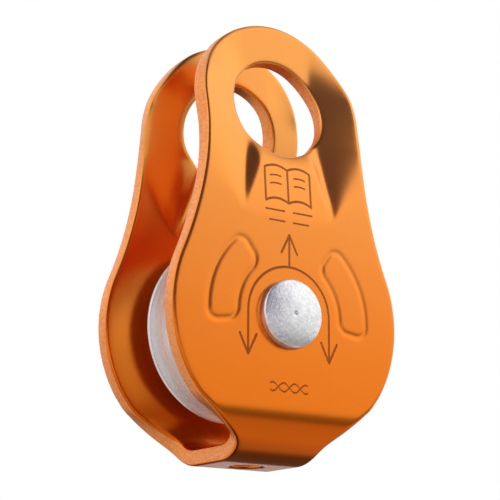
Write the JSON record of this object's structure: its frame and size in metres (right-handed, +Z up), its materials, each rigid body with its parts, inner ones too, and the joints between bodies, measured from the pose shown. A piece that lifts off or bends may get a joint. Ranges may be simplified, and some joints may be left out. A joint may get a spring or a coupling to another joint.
{
  "type": "rope pulley",
  "caption": "Small rope pulley: one folded strap makes two fixed pear-shaped side plates with an attachment hole, and a grooved sheave turns on a riveted axle between them.",
  "frame": {"origin": "centre of the attachment hole, midway between the two side plates", "axes": "+Z up towards the anchor, Y along the axle and through the attachment hole, X across the face of the plates"},
  "size_m": [0.0496, 0.0326, 0.0851],
  "materials": {
    "orange_strap": "satin orange anodised aluminium",
    "sheave_metal": "turned aluminium",
    "bush_bronze": "sintered bronze",
    "sleeve_steel": "ground steel",
    "rivet_steel": "tumbled steel",
    "washer_polymer": "moulded acetal"
  },
  "bodies": {
    "frame": {"side_plates": "orange_strap", "rivet": "rivet_steel", "spacer_sleeve": "sleeve_steel"},
    "wheel": {"sheave": "sheave_metal", "bush": "bush_bronze"},
    "front_washer": {"front_thrust_washer": "washer_polymer"},
    "back_washer": {"back_thrust_washer": "washer_polymer"}
  },
  "joints": [
    {"name": "sheave_spin", "type": "hinge", "parent": "frame", "child": "wheel", "pos_m": [0, 0, -0.041], "axis": [0, 1, 0], "continuous": true},
    {"name": "front_washer_spin", "type": "hinge", "parent": "frame", "child": "front_washer", "pos_m": [0, 0, -0.041], "axis": [0, 1, 0], "continuous": true},
    {"name": "back_washer_spin", "type": "hinge", "parent": "frame", "child": "back_washer", "pos_m": [0, 0, -0.041], "axis": [0, 1, 0], "continuous": true}
  ]
}
